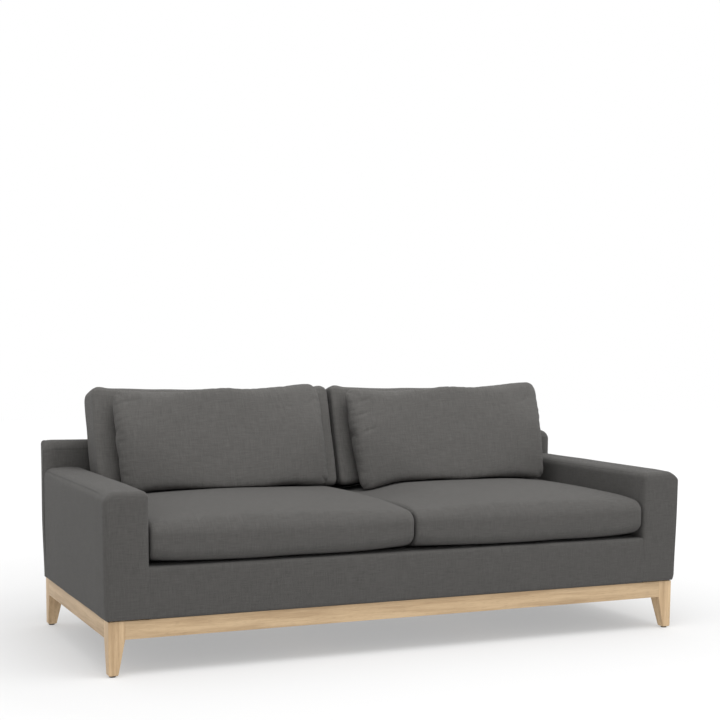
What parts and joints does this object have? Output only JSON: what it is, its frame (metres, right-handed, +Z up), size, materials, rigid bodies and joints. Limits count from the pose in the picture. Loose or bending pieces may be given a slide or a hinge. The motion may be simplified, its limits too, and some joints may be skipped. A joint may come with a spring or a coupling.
{
  "type": "sofa",
  "caption": "Low track-arm sofa on an oak rail base with tapered legs, loose crowned seat cushions, leaning back cushions and lumbar pillows.",
  "frame": {"origin": "on the floor under the middle of the sofa's overall box", "axes": "+X along the sofa towards the right-hand end as seen from the front, -Y towards the front of the seat, +Z up"},
  "size_m": [2.2, 0.96, 0.898],
  "materials": {
    "oak": "satin",
    "hardwood": "matte",
    "steel": "satin",
    "nylon": "matte",
    "cambric": "matte",
    "upholstery": "matte"
  },
  "bodies": {
    "frame": {"leg_front_left": "oak", "leg_front_right": "oak", "leg_rear_right": "oak", "leg_rear_left": "oak", "base_rail_front": "oak", "base_rail_right": "oak", "base_rail_rear": "oak", "base_rail_left": "oak", "corner_block_front_left": "hardwood", "corner_block_front_right": "hardwood", "corner_block_rear_right": "hardwood", "corner_block_rear_left": "hardwood", "base_cross_rail_left": "hardwood", "base_cross_rail_right": "hardwood", "seat_rail_front": "hardwood", "seat_rail_rear": "hardwood", "seat_rail_left": "hardwood", "seat_rail_right": "hardwood", "seat_stretcher_centre": "hardwood", "arm_front_board_left": "hardwood", "arm_front_board_right": "hardwood", "arm_rear_board_left": "hardwood", "arm_rear_board_right": "hardwood", "arm_top_board_left": "hardwood", "arm_top_board_right": "hardwood", "arm_bottom_rail_left": "hardwood", "arm_bottom_rail_right": "hardwood", "back_bottom_rail": "hardwood", "back_top_rail": "hardwood", "back_post_left": "hardwood", "back_post_centre": "hardwood", "back_post_right": "hardwood", "leg_bolt_front_left": "steel", "leg_bolt_front_right": "steel", "leg_bolt_rear_right": "steel", "leg_bolt_rear_left": "steel", "seat_spring_1": "steel", "seat_spring_2": "steel", "seat_spring_3": "steel", "seat_spring_4": "steel", "seat_spring_5": "steel", "seat_spring_6": "steel", "seat_spring_7": "steel", "seat_spring_8": "steel", "glide_front_left": "nylon", "glide_front_right": "nylon", "glide_rear_right": "nylon", "glide_rear_left": "nylon", "dust_cover": "cambric", "arm_cover_left": "upholstery", "arm_cover_right": "upholstery", "back_cover": "upholstery", "front_border_cover": "upholstery", "deck_pad": "upholstery"},
    "seat_cushion_left": {"seat_cushion_left": "upholstery"},
    "seat_cushion_right": {"seat_cushion_right": "upholstery"},
    "back_cushion_left": {"back_cushion_left": "upholstery"},
    "back_cushion_right": {"back_cushion_right": "upholstery"},
    "lumbar_pillow_left": {"lumbar_pillow_left": "upholstery"},
    "lumbar_pillow_right": {"lumbar_pillow_right": "upholstery"}
  },
  "joints": [
    {"name": "seat_cushion_left_lift", "type": "slide", "parent": "frame", "child": "seat_cushion_left", "axis": [0, 0, 1], "range_m": [0, 0.36]},
    {"name": "back_cushion_left_lift", "type": "slide", "parent": "seat_cushion_left", "child": "back_cushion_left", "axis": [0, 0, 1], "range_m": [0, 0.36]},
    {"name": "lumbar_pillow_left_lift", "type": "slide", "parent": "back_cushion_left", "child": "lumbar_pillow_left", "axis": [0, 0, 1], "range_m": [0, 0.36]},
    {"name": "seat_cushion_right_lift", "type": "slide", "parent": "frame", "child": "seat_cushion_right", "axis": [0, 0, 1], "range_m": [0, 0.36]},
    {"name": "back_cushion_right_lift", "type": "slide", "parent": "seat_cushion_right", "child": "back_cushion_right", "axis": [0, 0, 1], "range_m": [0, 0.36]},
    {"name": "lumbar_pillow_right_lift", "type": "slide", "parent": "back_cushion_right", "child": "lumbar_pillow_right", "axis": [0, 0, 1], "range_m": [0, 0.36]}
  ]
}
